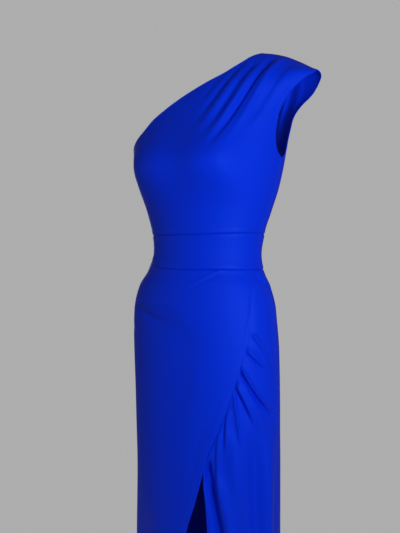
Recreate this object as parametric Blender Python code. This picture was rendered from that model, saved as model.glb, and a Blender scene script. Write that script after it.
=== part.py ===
"""One-shoulder column dress in smooth stretch crepe, in its worn, hollow form.

Seven cut pieces: bodice front and back, waistband front and back, wrapped skirt front,
tucked skirt front and skirt back. The wearer faces -Y, +X is the wearer's left, +Z is up.
Heights are measured from the natural waist, angles turn from the centre front to the
wearer's left. The row's origin lies under the middle of the left shoulder seam.
"""

import bpy
import numpy as np

WALL = 0.0020
SEAM_GAP = 0.0003

# Heights above the natural waist
BAND_TOP = 0.036
BAND_TOP_DIP = 0.0035
BAND_LOW = -0.036
BAND_LOW_RISE = 0.019
BAND_RISE_ANGLE = -80
BAND_RISE_SPREAD = 42
UNDERARM = 0.185
RIGHT_NOTCH = 0.208
SHOULDER_TIP = 0.352
NECK_POINT = 0.402
SLIT_TOP = -0.425

# The body of the dress, one row a level: half width, front and back depth from the middle
# plane, where the widest point lies, sideways shift, and how far the corners fill out
SECTION_COLUMNS = ("height", "half_width", "front", "back", "side", "shift", "square")
SECTIONS = (
    (-1.080, 0.159, 0.115, 0.116, 0.000, -0.001, 0.02),
    (-0.800, 0.155, 0.111, 0.112, 0.000, -0.001, 0.02),
    (-0.600, 0.153, 0.108, 0.110, 0.000, -0.001, 0.02),
    (-0.440, 0.156, 0.108, 0.110, 0.000, -0.003, 0.02),
    (-0.300, 0.159, 0.109, 0.113, 0.000, -0.005, 0.02),
    (-0.200, 0.160, 0.109, 0.115, 0.000, -0.008, 0.02),
    (-0.120, 0.157, 0.108, 0.109, 0.000, -0.011, 0.02),
    (-0.070, 0.144, 0.103, 0.099, 0.000, -0.010, 0.02),
    (-0.036, 0.126, 0.096, 0.089, 0.000, -0.006, 0.01),
    (0.000, 0.118, 0.091, 0.085, 0.000, -0.002, 0.01),
    (0.036, 0.122, 0.094, 0.088, 0.000, 0.000, 0.01),
    (0.080, 0.135, 0.099, 0.097, 0.004, 0.000, 0.01),
    (0.130, 0.151, 0.104, 0.106, 0.008, -0.001, 0.02),
    (0.180, 0.164, 0.107, 0.112, 0.010, -0.003, 0.02),
    (0.220, 0.170, 0.104, 0.113, 0.012, -0.003, 0.03),
    (0.260, 0.176, 0.096, 0.110, 0.015, 0.000, 0.04),
    (0.300, 0.195, 0.082, 0.103, 0.022, 0.000, 0.04),
    (0.328, 0.217, 0.068, 0.095, 0.027, 0.000, 0.04),
    (0.347, 0.228, 0.056, 0.087, 0.030, 0.000, 0.02),
    (0.361, 0.213, 0.047, 0.081, 0.030, 0.000, 0.00),
    (0.383, 0.177, 0.034, 0.072, 0.029, 0.000, 0.00),
    (0.395, 0.146, 0.024, 0.064, 0.028, 0.000, 0.00),
    (0.402, 0.106, 0.014, 0.056, 0.027, 0.000, 0.00),
    (0.408, 0.080, 0.006, 0.050, 0.026, 0.000, 0.00),
)

# The bust is shaped by the bodice's cut: the cloth spans between two crowns, a little hollow between
BUST_HEIGHT = 0.168
BUST_OUT = 0.038
BUST_APART = 0.087
BUST_WIDTH = 0.048
BUST_BELOW = 0.054
BUST_ABOVE = 0.066
BUST_HOLLOW = 0.27
BUST_HOLLOW_WIDTH = 0.044

# Free edges of the bodice
NECKLINE_COLUMNS = ("angle", "height")
FRONT_NECKLINE = (
    (-90, 0.208),
    (-60, 0.216),
    (-44, 0.228),
    (-34, 0.243),
    (-26, 0.2655),
    (-16, 0.2855),
    (0, 0.3185),
    (18, 0.358),
    (30, 0.377),
    (40, 0.3880),
    (51, 0.3940),
    (70, 0.3990),
    (90, 0.402),
)
BACK_NECKLINE = (
    (90, 0.402),
    (110, 0.4005),
    (129, 0.396),
    (142, 0.379),
    (180, 0.303),
    (210, 0.248),
    (240, 0.215),
    (270, 0.208),
)
ARMHOLE_COLUMNS = ("height", "front_angle", "back_angle")
ARMHOLE = (
    (0.185, 90.0, 90.0),
    (0.196, 81.0, 99.0),
    (0.220, 75.0, 106.0),
    (0.250, 72.0, 110.0),
    (0.285, 70.0, 112.0),
    (0.315, 69.5, 113.0),
    (0.336, 73.0, 110.0),
    (0.348, 83.0, 99.0),
    (0.352, 90.0, 90.0),
)

# Pleats let into the shoulder seam, by distance from the middle and height
PLEAT_COLUMNS = ("top_x", "top_height", "end_x", "end_height", "width", "depth", "root")
FRONT_PLEATS = (
    (0.196, 0.378, 0.112, 0.212, 0.0085, -0.0028, 0.040),
    (0.158, 0.390, 0.064, 0.178, 0.0065, -0.0064, 0.034),
    (0.172, 0.388, 0.090, 0.188, 0.0065, 0.0036, 0.034),
    (0.134, 0.394, 0.046, 0.204, 0.0062, -0.0056, 0.060),
    (0.146, 0.392, 0.055, 0.192, 0.0060, 0.0036, 0.050),
    (0.110, 0.397, 0.022, 0.230, 0.0065, -0.0044, 0.100),
    (0.122, 0.396, 0.034, 0.216, 0.0060, 0.0028, 0.090),
    (0.088, 0.392, 0.016, 0.266, 0.0075, -0.0024, 0.100),
)
BACK_PLEATS = (
    (0.190, 0.380, 0.150, 0.250, 0.0090, -0.0026, 0.034),
    (0.166, 0.385, 0.112, 0.222, 0.0080, -0.0052, 0.034),
    (0.146, 0.392, 0.082, 0.250, 0.0070, -0.0046, 0.040),
    (0.156, 0.390, 0.097, 0.240, 0.0065, 0.0028, 0.040),
    (0.124, 0.400, 0.058, 0.268, 0.0070, -0.0040, 0.070),
    (0.104, 0.400, 0.034, 0.300, 0.0080, -0.0022, 0.090),
)

# The wrapped front's edge, and how far the slit has parted the tucked front from it
WRAP_EDGE_COLUMNS = ("height", "wrap_angle", "slit_angle")
WRAP_EDGE = (
    (-1.080, -11.0, 38.0),
    (-0.800, -7.0, 32.0),
    (-0.660, -2.0, 25.5),
    (-0.546, 5.0, 16.5),
    (-0.489, 12.0, 8.0),
    (-0.440, 17.2, 1.2),
    (-0.425, 18.7, 0.0),
    (-0.402, 21.0, 0.0),
    (-0.353, 29.0, 0.0),
    (-0.309, 36.0, 0.0),
    (-0.257, 43.0, 0.0),
    (-0.193, 52.0, 0.0),
    (-0.168, 56.5, 0.0),
    (-0.114, 59.5, 0.0),
    (-0.068, 66.0, 0.0),
    (-0.036, 81.0, 0.0),
)

# Folds by angle and height, from their root to where they fade: the tucks are let into
# the wrapped front's edge, and the falls are the soft folds of the hanging skirt
FOLD_COLUMNS = ("angle", "height", "end_angle", "end_height", "bow", "width", "depth", "root")
TUCKS = (
    (57.0, -0.158, 78.0, -0.238, -0.008, 0.0095, 0.0030, 0.016),
    (50.0, -0.190, 74.0, -0.236, 0.0045, 0.0080, -0.0045, 0.016),
    (51.0, -0.215, 88.0, -0.325, 0.0045, 0.0095, 0.0066, 0.016),
    (46.0, -0.226, 86.0, -0.340, 0.0045, 0.0085, -0.0072, 0.016),
    (47.0, -0.243, 76.0, -0.372, 0.005, 0.0130, 0.0070, 0.020),
    (41.5, -0.258, 70.0, -0.395, 0.006, 0.0095, -0.0070, 0.016),
    (40.0, -0.275, 52.0, -0.420, -0.006, 0.0100, 0.0046, 0.016),
    (35.0, -0.306, 34.0, -0.440, 0.000, 0.0095, -0.0052, 0.016),
    (31.0, -0.325, 38.0, -0.560, -0.006, 0.0110, 0.0044, 0.016),
    (28.5, -0.352, 31.0, -0.560, 0.004, 0.0095, -0.0046, 0.020),
    (25.0, -0.380, 34.0, -0.800, -0.002, 0.0100, 0.0048, 0.016),
    (19.8, -0.400, 50.0, -0.800, -0.006, 0.0095, -0.0125, 0.016),
    (28.0, -0.430, 60.0, -0.900, -0.006, 0.0120, 0.0050, 0.040),
    (15.5, -0.420, 30.0, -0.900, -0.002, 0.0060, 0.0050, 0.016),
)
FALLS = (
    (77.0, -0.037, 104.0, -0.078, 0.000, 0.0080, -0.0052, 0.012),
    (62.0, -0.330, 58.0, -1.450, 0.006, 0.0260, -0.0065, 0.180),
    (76.0, -0.300, 74.0, -1.350, -0.004, 0.0240, 0.0060, 0.180),
    (44.0, -0.520, 44.0, -1.500, 0.000, 0.0200, 0.0080, 0.180),
    (95.0, -0.320, 96.0, -1.400, 0.005, 0.0240, -0.0060, 0.180),
    (-12.0, -0.560, -20.0, -1.700, 0.000, 0.0300, 0.0060, 0.180),
    (-36.0, -0.480, -44.0, -1.500, 0.004, 0.0280, -0.0055, 0.180),
    (-62.0, -0.420, -66.0, -1.500, 0.000, 0.0300, 0.0055, 0.180),
    (-84.0, -0.360, -88.0, -1.400, -0.004, 0.0260, -0.0050, 0.180),
    (-50.0, -0.108, -2.0, -0.148, 0.003, 0.0110, -0.0024, 0.050),
    (5.0, -0.130, 16.0, -0.235, 0.000, 0.0220, -0.0020, 0.050),
    (128.0, -0.260, 124.0, -1.500, 0.004, 0.0280, 0.0065, 0.180),
    (152.0, -0.180, 150.0, -1.450, -0.003, 0.0300, -0.0070, 0.180),
    (176.0, -0.300, 178.0, -1.500, 0.003, 0.0280, 0.0060, 0.180),
    (203.0, -0.190, 206.0, -1.450, 0.004, 0.0300, -0.0070, 0.180),
    (230.0, -0.280, 234.0, -1.450, -0.003, 0.0270, 0.0062, 0.180),
    (250.0, -0.340, 256.0, -1.400, 0.004, 0.0250, -0.0056, 0.180),
    (165.0, -0.060, 205.0, -0.085, 0.002, 0.0110, -0.0022, 0.040),
)
FOLD_FADE = 0.45
CHART_RADIUS = 0.140

# The shoulder cap stands away from the arm
CAP_OUT = 0.015
CAP_ANGLE = 104
CAP_HEIGHT = 0.324
CAP_TURN = 20
CAP_SPAN = 0.030
FRONT_TO_BACK_BLEND = 0.3

# The tucked front is let in just under the wrapped front's edge
TUCKED_UNDER = 0.0015
TUCKED_UNDER_WIDTH = 0.010
TUCKED_UNDER_FADE = 0.030

# Grids, as numbers of facets; the tucked front's rows droop to run along its tucks
EDGE_SAMPLES = 400
BODY_COLUMNS = 36
BODICE_SIDE_ROWS = 8
BODICE_ARMHOLE_ROWS = 10
NECKLINE_FACETS = 23
BAND_ROWS = 3
SKIRT_ROW_COLUMNS = ("to_height", "front_rows", "back_rows")
SKIRT_ROWS = (
    (-0.150, 6, 5),
    (-0.400, 23, 8),
    (-0.560, 6, 5),
    (-1.050, 8, 8),
)
WRAP_COLUMNS = 24
TUCKED_COLUMNS = 16
TUCKED_CROWDING = 1.35
SKIRT_BACK_COLUMNS = 18
ROW_DROOP = 0.100
DROOP_TOP = -0.040
DROOP_FULL = -0.210
DROOP_FADE = -0.400
DROOP_FOOT = -0.800
RISE_FADE = -0.150

CLOTH_COLOUR = (0.0004, 0.026, 0.66, 1.0)
CLOTH_ROUGHNESS = 0.58
SHARP_FROM = 50


def column(table, columns, wanted):
    """One named column of a table."""
    return np.array([row[columns.index(wanted)] for row in table], float)


def smooth(xs, ys, at):
    """A smooth curve through the table's points that never overshoots them."""
    steps = np.diff(xs)
    rises = np.diff(ys) / steps
    before = 2 * steps[1:] + steps[:-1]
    after = steps[1:] + 2 * steps[:-1]
    level = rises[1:] * rises[:-1] <= 0
    safe_low = np.where(level, 1.0, rises[:-1])
    safe_high = np.where(level, 1.0, rises[1:])
    inner = (before + after) / (before / safe_low + after / safe_high)
    slopes = np.concatenate([rises[:1], np.where(level, 0.0, inner), rises[-1:]])
    spot = np.clip(np.searchsorted(xs, at) - 1, 0, len(xs) - 2)
    step = steps[spot]
    t = np.clip((at - xs[spot]) / step, 0, 1)
    low = (2 * t**3 - 3 * t**2 + 1) * ys[spot] + (t**3 - 2 * t**2 + t) * step * slopes[spot]
    high = (3 * t**2 - 2 * t**3) * ys[spot + 1] + (t**3 - t**2) * step * slopes[spot + 1]
    return low + high


def ease(value):
    """Zero below 0, one above 1, smooth between."""
    t = np.clip(value, 0, 1)
    return t * t * (3 - 2 * t)


def section(height):
    """The section's sizes at each height, in the order of the table's columns after the height."""
    heights = column(SECTIONS, SECTION_COLUMNS, "height")
    return [smooth(heights, column(SECTIONS, SECTION_COLUMNS, name), height) for name in SECTION_COLUMNS[1:]]


def ring(angle, height):
    """A point on the plain section at an angle in degrees and a height."""
    turn = np.radians(angle)
    width, front, back, side, _, square = section(height)
    fill = 1 + square * np.sin(2 * turn) ** 2
    reach = np.where(np.cos(turn) > 0, front + side, back - side)
    x = width * np.sin(turn) * fill
    y = side - reach * np.cos(turn) * fill
    return np.stack([x, y, np.broadcast_to(height, x.shape)], axis=-1)


def angle_of(points):
    """The angle at which a point lies from its section's middle."""
    width, front, back, side, _, _ = section(points[..., 2])
    forward = side - points[..., 1]
    reach = np.where(forward > 0, front + side, back - side)
    return np.degrees(np.arctan2(points[..., 0] / width, forward / reach))


def body(angle, height):
    """The dress's smooth form at an angle and a height: its section, bust and shift, without folds."""
    points = ring(angle, height)
    x = points[..., 0]
    span = np.where(height < BUST_HEIGHT, BUST_BELOW, BUST_ABOVE)
    crown = np.exp(-(((height - BUST_HEIGHT) / span) ** 2))
    beside = np.clip(np.abs(x) - BUST_APART, 0, None)
    across = np.exp(-((beside / BUST_WIDTH) ** 2)) - BUST_HOLLOW * np.exp(-((x / BUST_HOLLOW_WIDTH) ** 2))
    facing = np.clip(np.cos(np.radians(angle)), 0, 1)
    out = BUST_OUT * crown * across * facing * (2 - facing)
    return points + np.stack([section(height)[4] + 0 * x, -out, 0 * x], axis=-1)


def outward(angle, height):
    """The direction straight out of the smooth form, from its slopes over a short way each side."""
    turn = 0.2
    rise = 0.001
    around = body(angle + turn, height) - body(angle - turn, height)
    up = body(angle, height + rise) - body(angle, height - rise)
    normal = np.cross(around, up)
    return normal / np.linalg.norm(normal, axis=-1, keepdims=True)


def crease(across, up, start, end, bow, width, depth, root):
    """One soft fold on a flat chart in metres: full at its root, fading to its end."""
    run = np.subtract(end, start)
    length = np.hypot(run[0], run[1])
    along = ((across - start[0]) * run[0] + (up - start[1]) * run[1]) / length**2
    aside = ((across - start[0]) * run[1] - (up - start[1]) * run[0]) / length
    aside = aside - 4 * bow * along * (1 - along)
    shown = ease(along * length / root) * ease((1 - along) / FOLD_FADE)
    return depth * np.exp(-((aside / width) ** 2)) * shown


def pleats(table, x, height):
    """How far the shoulder pleats move the cloth."""
    moved = np.zeros(np.shape(height))
    for row in table:
        pleat = dict(zip(PLEAT_COLUMNS, row))
        top = (pleat["top_x"], pleat["top_height"])
        end = (pleat["end_x"], pleat["end_height"])
        moved = moved + crease(x, height, top, end, 0, pleat["width"], pleat["depth"], pleat["root"])
    return moved


def folds(table, angle, height):
    """How far the folds of a table move the cloth."""
    across = np.radians(angle) * CHART_RADIUS
    moved = np.zeros(np.shape(height))
    for row in table:
        fold = dict(zip(FOLD_COLUMNS, row))
        start = (np.radians(fold["angle"]) * CHART_RADIUS, fold["height"])
        end = (np.radians(fold["end_angle"]) * CHART_RADIUS, fold["end_height"])
        shape = (fold["bow"], fold["width"], fold["depth"], fold["root"])
        moved = moved + crease(across, height, start, end, *shape)
    return moved


def lift_bodice(angle, height):
    """Pleats and the cap's flare, one rule for both bodice pieces so that they meet."""
    x = body(angle, height)[..., 0]
    front = ease(0.5 + np.cos(np.radians(angle)) / FRONT_TO_BACK_BLEND)
    moved = front * pleats(FRONT_PLEATS, x, height) + (1 - front) * pleats(BACK_PLEATS, x, height)
    cap = np.exp(-(((angle - CAP_ANGLE) / CAP_TURN) ** 2) - ((height - CAP_HEIGHT) / CAP_SPAN) ** 2)
    return moved + CAP_OUT * cap


def lift_plain(angle, height):
    """The waistband lies flat."""
    return np.zeros(np.shape(height))


def lift_skirt(angle, height):
    """The falls of the skirt, which run on round from the front to the back."""
    turned = np.where(angle > 180, angle - 360, angle)
    return folds(FALLS, angle, height) + np.where(angle > 180, folds(FALLS, turned, height), 0)


def lift_tucked(angle, height):
    """The falls, the tucks and the edge that lies under the wrapped front."""
    inward = np.radians(angle - tucked_edge(height)) * CHART_RADIUS
    near = np.exp(-((inward / TUCKED_UNDER_WIDTH) ** 2))
    under = TUCKED_UNDER * near * ease((height - SLIT_TOP) / TUCKED_UNDER_FADE)
    return lift_skirt(angle, height) + folds(TUCKS, angle, height) - under


def wrap_edge(height):
    """The angle at which the wrapped front ends."""
    heights = column(WRAP_EDGE, WRAP_EDGE_COLUMNS, "height")
    return smooth(heights, column(WRAP_EDGE, WRAP_EDGE_COLUMNS, "wrap_angle"), height)


def tucked_edge(height):
    """The angle at which the tucked front starts: the same seam, until the slit opens."""
    heights = column(WRAP_EDGE, WRAP_EDGE_COLUMNS, "height")
    return wrap_edge(height) + smooth(heights, column(WRAP_EDGE, WRAP_EDGE_COLUMNS, "slit_angle"), height)


def spaced(angles, heights, facets):
    """Points along an edge, equally far apart on the cloth."""
    points = body(angles, heights)
    steps = np.linalg.norm(np.diff(points, axis=0), axis=1)
    run = np.concatenate([[0], np.cumsum(steps)])
    places = np.linspace(0, run[-1], facets + 1)
    return np.stack([np.interp(places, run, angles), np.interp(places, run, heights)], axis=-1)


def joined(first, second):
    """Two edges made one, with their shared point once."""
    return np.concatenate([first, second[1:]])


def neckline(table, facets):
    """The cut edge across the chest or the back."""
    angles = column(table, NECKLINE_COLUMNS, "angle")
    heights = column(table, NECKLINE_COLUMNS, "height")
    fine = np.linspace(angles[0], angles[-1], EDGE_SAMPLES)
    return spaced(fine, smooth(angles, heights, fine), facets)


def side_and_armhole(name):
    """From the waist seam up the left side seam, then up one edge of the armhole."""
    heights = column(ARMHOLE, ARMHOLE_COLUMNS, "height")
    angles = column(ARMHOLE, ARMHOLE_COLUMNS, name)
    straight = np.full(EDGE_SAMPLES, 90.0)
    side = spaced(straight, np.linspace(BAND_TOP, UNDERARM, EDGE_SAMPLES), BODICE_SIDE_ROWS)
    fine = np.linspace(UNDERARM, SHOULDER_TIP, EDGE_SAMPLES)
    return joined(side, spaced(smooth(heights, angles, fine), fine, BODICE_ARMHOLE_ROWS))


def shoulder_seam():
    """From the neck point out to the shoulder's tip."""
    heights = np.linspace(NECK_POINT, SHOULDER_TIP, EDGE_SAMPLES)
    return spaced(np.full(EDGE_SAMPLES, 90.0), heights, BODY_COLUMNS - NECKLINE_FACETS)


def right_side(angle):
    """The right side seam, from the waist seam up to the notch under the bare arm."""
    heights = np.linspace(BAND_TOP, RIGHT_NOTCH, EDGE_SAMPLES)
    return spaced(np.full(EDGE_SAMPLES, float(angle)), heights, BODICE_SIDE_ROWS + BODICE_ARMHOLE_ROWS)


def waist_seam(first, last):
    """The bodice's lower edge."""
    angles = np.linspace(first, last, EDGE_SAMPLES)
    return spaced(angles, band_top(angles), BODY_COLUMNS)


def patch(bottom, top, left, right):
    """A grid of angles and heights between four edges, evenly spread over the cloth."""
    bottom, top, left, right = (ring(line[:, 0], line[:, 1]) for line in (bottom, top, left, right))
    u = np.linspace(0, 1, len(bottom))[None, :, None]
    v = np.linspace(0, 1, len(left))[:, None, None]
    ruled = (1 - v) * bottom[None] + v * top[None] + (1 - u) * left[:, None] + u * right[:, None]
    corners = (1 - v) * ((1 - u) * bottom[0] + u * bottom[-1]) + v * ((1 - u) * top[0] + u * top[-1])
    points = ruled - corners
    return np.stack([angle_of(points), points[..., 2]], axis=-1)


def bodice_front_grid():
    top = joined(neckline(FRONT_NECKLINE, NECKLINE_FACETS), shoulder_seam())
    return patch(waist_seam(-90, 90), top, right_side(-90), side_and_armhole("front_angle"))


def bodice_back_grid():
    top = joined(shoulder_seam()[::-1], neckline(BACK_NECKLINE, NECKLINE_FACETS))
    grid = patch(waist_seam(90, 270), top, side_and_armhole("back_angle"), right_side(270))
    grid[..., 0] = grid[..., 0] % 360
    return grid


def band_top(angle):
    """The waistband's upper seam, which dips a little at the front."""
    return BAND_TOP - BAND_TOP_DIP * np.clip(np.cos(np.radians(angle)), 0, 1) ** 2


def band_low(angle):
    """The waistband's lower seam, which rises at the right hip."""
    turned = np.where(angle > 180, angle - 360, angle)
    return BAND_LOW + BAND_LOW_RISE * np.exp(-(((turned - BAND_RISE_ANGLE) / BAND_RISE_SPREAD) ** 2))


def band_grid(first, last):
    angles = waist_seam(first, last)[:, 0]
    low = np.stack([angles, band_low(angles)], axis=-1)
    high = np.stack([angles, band_top(angles)], axis=-1)
    share = np.linspace(0, 1, BAND_ROWS + 1)[:, None, None]
    return low[None] * (1 - share) + high[None] * share


def skirt_heights(counted):
    """Heights of the skirt's rows, from the hem up, closest where the tucks lie."""
    levels = [np.array([BAND_LOW])]
    start = BAND_LOW
    for row in SKIRT_ROWS:
        to_height = row[0]
        rows = row[SKIRT_ROW_COLUMNS.index(counted)]
        levels.append(np.linspace(start, to_height, rows + 1)[1:])
        start = to_height
    return np.concatenate(levels)[::-1]


def skirt_grid(left, right, columns, counted="front_rows", droop=0, crowding=1):
    """Rows between two edges given as angles at each height, its columns crowded to the left edge."""
    level = skirt_heights(counted)[:, None]
    u = np.linspace(0, 1, columns + 1)[None, :] ** crowding
    sinking = ease((DROOP_TOP - level) / (DROOP_TOP - DROOP_FULL))
    sunk = sinking * ease((level - DROOP_FOOT) / (DROOP_FADE - DROOP_FOOT))
    heights = level - droop * sunk * u
    angles = left(level) * (1 - u) + right(level) * u
    rising = ease((level - RISE_FADE) / (BAND_LOW - RISE_FADE))
    return np.stack([angles, heights + (band_low(angles) - BAND_LOW) * rising], axis=-1)


def front_right_seam(heights):
    return np.full(heights.shape, -90.0)


def left_seam(heights):
    return np.full(heights.shape, 90.0)


def back_right_seam(heights):
    return np.full(heights.shape, 270.0)


def parted(points):
    """The grid with its border drawn in by half of the seam's gap."""
    moved = points.copy()
    for axis in (0, 1):
        for border, inside in ((0, 1), (-1, -2)):
            at = [slice(None), slice(None)]
            near = [slice(None), slice(None)]
            at[axis], near[axis] = border, inside
            way = points[tuple(near)] - points[tuple(at)]
            moved[tuple(at)] += way / np.linalg.norm(way, axis=-1, keepdims=True) * SEAM_GAP / 2
    return moved


def cloth_piece(name, grid, lift, parent):
    """A closed wall of cloth: the form moved out by its folds, and its inner side."""
    angle, height = grid[..., 0], grid[..., 1]
    normal = outward(angle, height)
    outer = parted(body(angle, height)) + normal * lift(angle, height)[..., None]
    inner = outer - normal * WALL
    rows, columns = angle.shape
    number = np.arange(rows * columns).reshape(rows, columns)
    corners = [number[:-1, :-1], number[:-1, 1:], number[1:, 1:], number[1:, :-1]]
    quads = np.stack(corners, axis=-1).reshape(-1, 4)
    border = np.concatenate([number[0, :], number[1:, -1], number[-1, -2::-1], number[-2:0:-1, 0]])
    following = np.roll(border, -1)
    inside = number.size
    rims = np.stack([following, border, border + inside, following + inside], axis=-1)
    faces = np.concatenate([quads, quads[:, ::-1] + inside, rims])
    places = np.concatenate([outer.reshape(-1, 3), inner.reshape(-1, 3)])
    mesh = bpy.data.meshes.new(name)
    mesh.from_pydata(places.tolist(), [], faces.tolist())
    mesh.validate()
    mesh.shade_smooth()
    mesh.set_sharp_from_angle(angle=np.radians(SHARP_FROM))
    mesh.materials.append(cloth_material(name))
    piece = bpy.data.objects.new(name, mesh)
    piece.parent = parent
    bpy.context.scene.collection.objects.link(piece)
    return piece


def cloth_material(name):
    material = bpy.data.materials.new(name + "_crepe")
    material.use_nodes = True
    shader = material.node_tree.nodes["Principled BSDF"]
    shader.inputs["Base Color"].default_value = CLOTH_COLOUR
    shader.inputs["Roughness"].default_value = CLOTH_ROUGHNESS
    shader.inputs["Metallic"].default_value = 0.0
    return material


def shoulder_rest():
    """The point of the inner wall under the middle of the left shoulder seam."""
    height = (NECK_POINT + SHOULDER_TIP) / 2
    angle = np.array(90.0)
    return body(angle, height) - outward(angle, height) * WALL


def build():
    for old in list(bpy.data.objects):
        bpy.data.objects.remove(old, do_unlink=True)
    figure = bpy.data.objects.new("figure_frame", None)
    figure.location = [-float(value) for value in shoulder_rest()]
    bpy.context.scene.collection.objects.link(figure)
    wrap_grid = skirt_grid(front_right_seam, wrap_edge, WRAP_COLUMNS)
    tucked_grid = skirt_grid(
        tucked_edge, left_seam, TUCKED_COLUMNS, droop=ROW_DROOP, crowding=TUCKED_CROWDING
    )
    back_grid = skirt_grid(left_seam, back_right_seam, SKIRT_BACK_COLUMNS, counted="back_rows")
    pieces = (
        ("bodice_front", bodice_front_grid(), lift_bodice),
        ("bodice_back", bodice_back_grid(), lift_bodice),
        ("waistband_front", band_grid(-90, 90), lift_plain),
        ("waistband_back", band_grid(90, 270), lift_plain),
        ("skirt_front_wrap", wrap_grid, lift_skirt),
        ("skirt_front_tucked", tucked_grid, lift_tucked),
        ("skirt_back", back_grid, lift_skirt),
    )
    for name, grid, lift in pieces:
        cloth_piece(name, grid, lift, figure)


build()
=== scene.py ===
"""A one-shoulder column dress in smooth royal-blue stretch crepe, worn and hollow.

The wearer faces -Y, +X is the wearer's left and +Z is up. Heights are measured from the natural
waist and angles from the centre front toward the wearer's left. The origin is the inner side of
the cloth under the middle of the left shoulder seam.
"""

import bpy
import numpy as np
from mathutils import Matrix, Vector


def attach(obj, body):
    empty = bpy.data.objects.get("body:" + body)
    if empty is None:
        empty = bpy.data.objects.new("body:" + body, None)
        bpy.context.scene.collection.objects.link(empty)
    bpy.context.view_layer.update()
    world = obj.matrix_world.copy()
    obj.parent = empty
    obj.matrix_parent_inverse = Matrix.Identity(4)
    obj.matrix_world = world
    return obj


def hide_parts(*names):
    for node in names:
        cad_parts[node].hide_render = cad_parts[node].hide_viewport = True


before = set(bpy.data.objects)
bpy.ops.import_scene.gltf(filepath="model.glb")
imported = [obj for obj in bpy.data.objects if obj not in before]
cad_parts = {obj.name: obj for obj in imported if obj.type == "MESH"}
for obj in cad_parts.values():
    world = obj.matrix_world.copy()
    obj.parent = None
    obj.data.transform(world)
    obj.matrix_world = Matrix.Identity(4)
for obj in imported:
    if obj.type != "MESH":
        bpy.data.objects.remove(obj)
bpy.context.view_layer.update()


# Bodice front
# One piece of double-faced stretch crepe from the right underarm to the left shoulder. It is
# shaped over the bust by its cut, its pleats are laid into the left shoulder seam, and its
# neckline and armhole are turned in and pressed, with no stitching on the right side.

BAND_TOP = 0.036
BAND_TOP_DIP = 0.0035
UNDERARM = 0.185
RIGHT_NOTCH = 0.208
SHOULDER_TIP = 0.352
NECK_POINT = 0.402
CLOTH_WALL = 0.0016
SEAM_GAP = 0.0003

SECTION_COLUMNS = ("height", "half_width", "front", "back", "side", "shift", "square")
SECTIONS = (
    (-1.080, 0.159, 0.115, 0.116, 0.000, -0.001, 0.02),
    (-0.800, 0.155, 0.111, 0.112, 0.000, -0.001, 0.02),
    (-0.600, 0.153, 0.108, 0.110, 0.000, -0.001, 0.02),
    (-0.440, 0.156, 0.108, 0.110, 0.000, -0.003, 0.02),
    (-0.300, 0.159, 0.109, 0.113, 0.000, -0.005, 0.02),
    (-0.200, 0.160, 0.109, 0.115, 0.000, -0.008, 0.02),
    (-0.120, 0.157, 0.108, 0.109, 0.000, -0.011, 0.02),
    (-0.070, 0.144, 0.103, 0.099, 0.000, -0.010, 0.02),
    (-0.036, 0.126, 0.096, 0.089, 0.000, -0.006, 0.01),
    (0.000, 0.118, 0.091, 0.085, 0.000, -0.002, 0.01),
    (0.036, 0.122, 0.094, 0.088, 0.000, 0.000, 0.01),
    (0.080, 0.135, 0.099, 0.097, 0.004, 0.000, 0.01),
    (0.130, 0.151, 0.104, 0.106, 0.008, -0.001, 0.02),
    (0.180, 0.164, 0.107, 0.112, 0.010, -0.003, 0.02),
    (0.220, 0.170, 0.104, 0.113, 0.012, -0.003, 0.03),
    (0.260, 0.176, 0.096, 0.110, 0.015, 0.000, 0.04),
    (0.300, 0.195, 0.082, 0.103, 0.022, 0.000, 0.04),
    (0.328, 0.217, 0.068, 0.095, 0.027, 0.000, 0.04),
    (0.347, 0.228, 0.056, 0.087, 0.030, 0.000, 0.02),
    (0.361, 0.213, 0.047, 0.081, 0.030, 0.000, 0.00),
    (0.383, 0.177, 0.034, 0.072, 0.029, 0.000, 0.00),
    (0.395, 0.146, 0.024, 0.064, 0.028, 0.000, 0.00),
    (0.402, 0.106, 0.014, 0.056, 0.027, 0.000, 0.00),
    (0.408, 0.080, 0.006, 0.050, 0.026, 0.000, 0.00),
)
BUST_HEIGHT = 0.168
BUST_OUT = 0.038
BUST_APART = 0.087
BUST_WIDTH = 0.048
BUST_BELOW = 0.054
BUST_ABOVE = 0.066
BUST_HOLLOW = 0.27
BUST_HOLLOW_WIDTH = 0.044

NECKLINE_COLUMNS = ("angle", "height")
FRONT_NECKLINE = (
    (-90, 0.208),
    (-60, 0.216),
    (-44, 0.228),
    (-34, 0.243),
    (-26, 0.2655),
    (-16, 0.2855),
    (0, 0.3185),
    (18, 0.358),
    (30, 0.377),
    (40, 0.3880),
    (51, 0.3940),
    (70, 0.3990),
    (90, 0.402),
)
ARMHOLE_COLUMNS = ("height", "front_angle", "back_angle")
ARMHOLE = (
    (0.185, 90.0, 90.0),
    (0.196, 81.0, 99.0),
    (0.220, 75.0, 106.0),
    (0.250, 72.0, 110.0),
    (0.285, 70.0, 112.0),
    (0.315, 69.5, 113.0),
    (0.336, 73.0, 110.0),
    (0.348, 83.0, 99.0),
    (0.352, 90.0, 90.0),
)
PLEAT_COLUMNS = ("top_x", "top_height", "end_x", "end_height", "width", "depth", "lean", "root")
FRONT_PLEATS = (
    (0.196, 0.378, 0.112, 0.212, 0.0085, -0.0030, 0.3, 0.040),
    (0.158, 0.390, 0.064, 0.178, 0.0056, -0.0074, 0.4, 0.022),
    (0.172, 0.388, 0.090, 0.188, 0.0062, 0.0040, 0.0, 0.030),
    (0.134, 0.394, 0.046, 0.204, 0.0054, -0.0064, 0.4, 0.060),
    (0.146, 0.392, 0.055, 0.192, 0.0056, 0.0040, 0.0, 0.050),
    (0.110, 0.397, 0.022, 0.230, 0.0056, -0.0050, 0.4, 0.100),
    (0.122, 0.396, 0.034, 0.216, 0.0054, 0.0032, 0.0, 0.090),
    (0.088, 0.392, 0.016, 0.266, 0.0070, -0.0026, 0.3, 0.100),
)
FOLD_FADE = 0.45
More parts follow.
